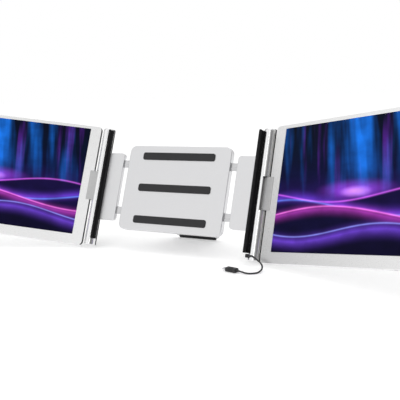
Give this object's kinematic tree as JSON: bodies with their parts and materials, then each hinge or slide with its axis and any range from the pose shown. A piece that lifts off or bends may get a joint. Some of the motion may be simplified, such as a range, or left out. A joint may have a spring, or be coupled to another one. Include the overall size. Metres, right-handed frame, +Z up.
{
  "type": "laptop screen extender",
  "caption": "Screen extender for a laptop: sliding arms grip the lid's sides, and a screen swings on a round column at each end; folding stand and data cable.",
  "frame": {"origin": "middle of the rubber pads' front face, where the back of the laptop's lid rests", "axes": "+X to the viewer's right, +Y away from the viewer, +Z up; the lid leans back 23.7 degrees"},
  "size_m": [1.0508, 0.2553, 0.2745],
  "materials": {
    "satin_silver": "satin anodised",
    "column_silver": "polished",
    "bezel_silver": "satin",
    "knuckle_grey": "satin",
    "steel": "brushed",
    "dark_screw": "blackened",
    "dark_plastic": "matt",
    "rubber": "matt",
    "pale_plastic": "matt",
    "display": "gloss, lit",
    "board_green": "solder mask",
    "cable_black": "satin"
  },
  "bodies": {
    "middle": {"mid_front_cover": "satin_silver", "mid_back_cover": "satin_silver", "mid_screws": "dark_screw", "lid_pads": "rubber", "rail_guides": "pale_plastic", "stand_bracket": "satin_silver", "stand_pin": "steel"},
    "stand": {"stand_plate": "satin_silver", "stand_foot": "rubber"},
    "left_arm": {"left_arm_plate": "satin_silver", "left_rails": "steel", "left_arm_screws": "dark_screw", "left_column": "column_silver", "left_column_back": "dark_plastic", "left_top_cap": "column_silver", "left_foot_cap": "column_silver", "left_grip": "dark_plastic", "left_grip_liner": "rubber", "left_hinge_blocks": "steel", "left_hinge_pin": "steel", "left_washers": "dark_screw"},
    "left_screen": {"left_knuckle": "knuckle_grey", "left_knuckle_screws": "dark_screw", "left_bezel": "bezel_silver", "left_back_cover": "satin_silver", "left_cover_screws": "dark_screw", "left_display": "display", "left_backlight": "pale_plastic", "left_driver_board": "board_green", "left_usb_socket": "steel", "left_rear_pads": "rubber"},
    "left_button_key": {"left_button": "satin_silver"},
    "right_arm": {"right_arm_plate": "satin_silver", "right_rails": "steel", "right_arm_screws": "dark_screw", "right_column": "column_silver", "right_column_back": "dark_plastic", "right_top_cap": "column_silver", "right_foot_cap": "column_silver", "right_grip": "dark_plastic", "right_grip_liner": "rubber", "right_hinge_blocks": "steel", "right_hinge_pin": "steel", "right_washers": "dark_screw", "cable_gland": "cable_black", "data_cable": "cable_black", "plug_grip": "cable_black", "plug_shell": "steel"},
    "right_screen": {"right_knuckle": "knuckle_grey", "right_knuckle_screws": "dark_screw", "right_bezel": "bezel_silver", "right_back_cover": "satin_silver", "right_cover_screws": "dark_screw", "right_display": "display", "right_backlight": "pale_plastic", "right_driver_board": "board_green", "right_usb_socket": "steel", "right_rear_pads": "rubber"},
    "right_button_key": {"right_button": "satin_silver"}
  },
  "joints": [
    {"name": "left_arm_slide", "type": "slide", "parent": "middle", "child": "left_arm", "axis": [-1, 0, 0], "range_m": [-0.012, 0.038]},
    {"name": "left_screen_swing", "type": "hinge", "parent": "left_arm", "child": "left_screen", "pos_m": [-0.1748, 0.01112, -0.00488], "axis": [0, 0.4019, 0.9157], "range_deg": [-110, 23]},
    {"name": "left_button_press", "type": "slide", "parent": "left_screen", "child": "left_button_key", "axis": [0, 0.4019, 0.9157], "range_m": [0, 0.0005], "stiffness_N_per_m": 2000, "springref_m": -0.0002},
    {"name": "right_arm_slide", "type": "slide", "parent": "middle", "child": "right_arm", "axis": [1, 0, 0], "range_m": [-0.012, 0.038]},
    {"name": "right_screen_swing", "type": "hinge", "parent": "right_arm", "child": "right_screen", "pos_m": [0.1748, 0.01112, -0.00488], "axis": [0, 0.4019, 0.9157], "range_deg": [-23, 110]},
    {"name": "right_button_press", "type": "slide", "parent": "right_screen", "child": "right_button_key", "axis": [0, 0.4019, 0.9157], "range_m": [0, 0.0005], "stiffness_N_per_m": 2000, "springref_m": -0.0002},
    {"name": "stand_swing", "type": "hinge", "parent": "middle", "child": "stand", "pos_m": [0, 0.03081, 0.02142], "axis": [1, 0, 0], "range_deg": [-44, 10]}
  ]
}
